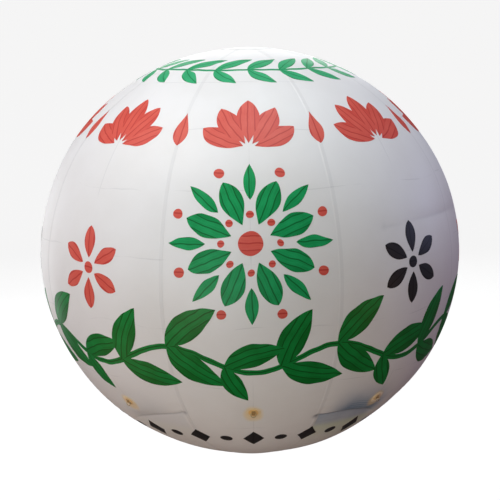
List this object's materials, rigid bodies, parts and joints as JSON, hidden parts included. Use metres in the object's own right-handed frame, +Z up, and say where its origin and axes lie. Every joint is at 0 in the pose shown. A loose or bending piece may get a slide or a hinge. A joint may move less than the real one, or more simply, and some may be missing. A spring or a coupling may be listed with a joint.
{
  "type": "spherical advertising balloon",
  "caption": "Spherical white PVC advertising balloon of welded gores, with painted ornament, tie rings on round patches below the equator and a capped filling valve underneath.",
  "frame": {"origin": "centre of the envelope, where the surrounding air holds it up", "axes": "+Z up through the crown disc; the front gore, in the middle of the picture, faces -Y; +X is to the picture's right"},
  "size_m": [3.0482, 3.0482, 2.99],
  "materials": {
    "white_pvc": "satin PVC film",
    "yellow_pvc": "welded PVC patch",
    "brown_webbing": "woven webbing",
    "steel": "zinc-plated wire",
    "valve_plastic": "moulded",
    "green_paint": "brushed on film",
    "red_paint": "brushed on film",
    "black_paint": "brushed on film"
  },
  "bodies": {
    "envelope": {"gore_1": "white_pvc", "gore_2": "white_pvc", "gore_3": "white_pvc", "gore_4": "white_pvc", "gore_5": "white_pvc", "gore_6": "white_pvc", "gore_7": "white_pvc", "gore_8": "white_pvc", "crown_disc": "white_pvc", "base_disc": "white_pvc", "valve_stem": "valve_plastic", "valve_flange": "valve_plastic", "valve_pin": "steel", "tie_patch_1": "yellow_pvc", "tie_patch_2": "yellow_pvc", "tie_patch_3": "yellow_pvc", "tie_patch_4": "yellow_pvc", "tie_patch_5": "yellow_pvc", "tie_patch_6": "yellow_pvc", "tie_patch_7": "yellow_pvc", "tie_patch_8": "yellow_pvc", "tie_tab_1": "brown_webbing", "tie_tab_2": "brown_webbing", "tie_tab_3": "brown_webbing", "tie_tab_4": "brown_webbing", "tie_tab_5": "brown_webbing", "tie_tab_6": "brown_webbing", "tie_tab_7": "brown_webbing", "tie_tab_8": "brown_webbing"},
    "tie_ring_1": {"tie_ring_1": "steel"},
    "tie_ring_2": {"tie_ring_2": "steel"},
    "tie_ring_3": {"tie_ring_3": "steel"},
    "tie_ring_4": {"tie_ring_4": "steel"},
    "tie_ring_5": {"tie_ring_5": "steel"},
    "tie_ring_6": {"tie_ring_6": "steel"},
    "tie_ring_7": {"tie_ring_7": "steel"},
    "tie_ring_8": {"tie_ring_8": "steel"},
    "valve_cap": {"valve_cap": "valve_plastic"}
  },
  "joints": [
    {"name": "tie_ring_1_swing", "type": "hinge", "parent": "envelope", "child": "tie_ring_1", "pos_m": [0, -1.21417, -0.9059], "axis": [1, 0, 0], "range_deg": [-131.7, 28.3]},
    {"name": "tie_ring_2_swing", "type": "hinge", "parent": "envelope", "child": "tie_ring_2", "pos_m": [0.85855, -0.85855, -0.9059], "axis": [0.7071, 0.7071, 0], "range_deg": [-131.7, 28.3]},
    {"name": "tie_ring_3_swing", "type": "hinge", "parent": "envelope", "child": "tie_ring_3", "pos_m": [1.21417, 0, -0.9059], "axis": [0, 1, 0], "range_deg": [-131.7, 28.3]},
    {"name": "tie_ring_4_swing", "type": "hinge", "parent": "envelope", "child": "tie_ring_4", "pos_m": [0.85855, 0.85855, -0.9059], "axis": [-0.7071, 0.7071, 0], "range_deg": [-131.7, 28.3]},
    {"name": "tie_ring_5_swing", "type": "hinge", "parent": "envelope", "child": "tie_ring_5", "pos_m": [0, 1.21417, -0.9059], "axis": [-1, 0, 0], "range_deg": [-131.7, 28.3]},
    {"name": "tie_ring_6_swing", "type": "hinge", "parent": "envelope", "child": "tie_ring_6", "pos_m": [-0.85855, 0.85855, -0.9059], "axis": [-0.7071, -0.7071, 0], "range_deg": [-131.7, 28.3]},
    {"name": "tie_ring_7_swing", "type": "hinge", "parent": "envelope", "child": "tie_ring_7", "pos_m": [-1.21417, 0, -0.9059], "axis": [0, -1, 0], "range_deg": [-131.7, 28.3]},
    {"name": "tie_ring_8_swing", "type": "hinge", "parent": "envelope", "child": "tie_ring_8", "pos_m": [-0.85855, -0.85855, -0.9059], "axis": [0.7071, -0.7071, 0], "range_deg": [-131.7, 28.3]},
    {"name": "valve_cap_hinge", "type": "hinge", "parent": "envelope", "child": "valve_cap", "pos_m": [0, 0.037, -1.50253], "axis": [1, 0, 0], "range_deg": [0, 150]}
  ]
}
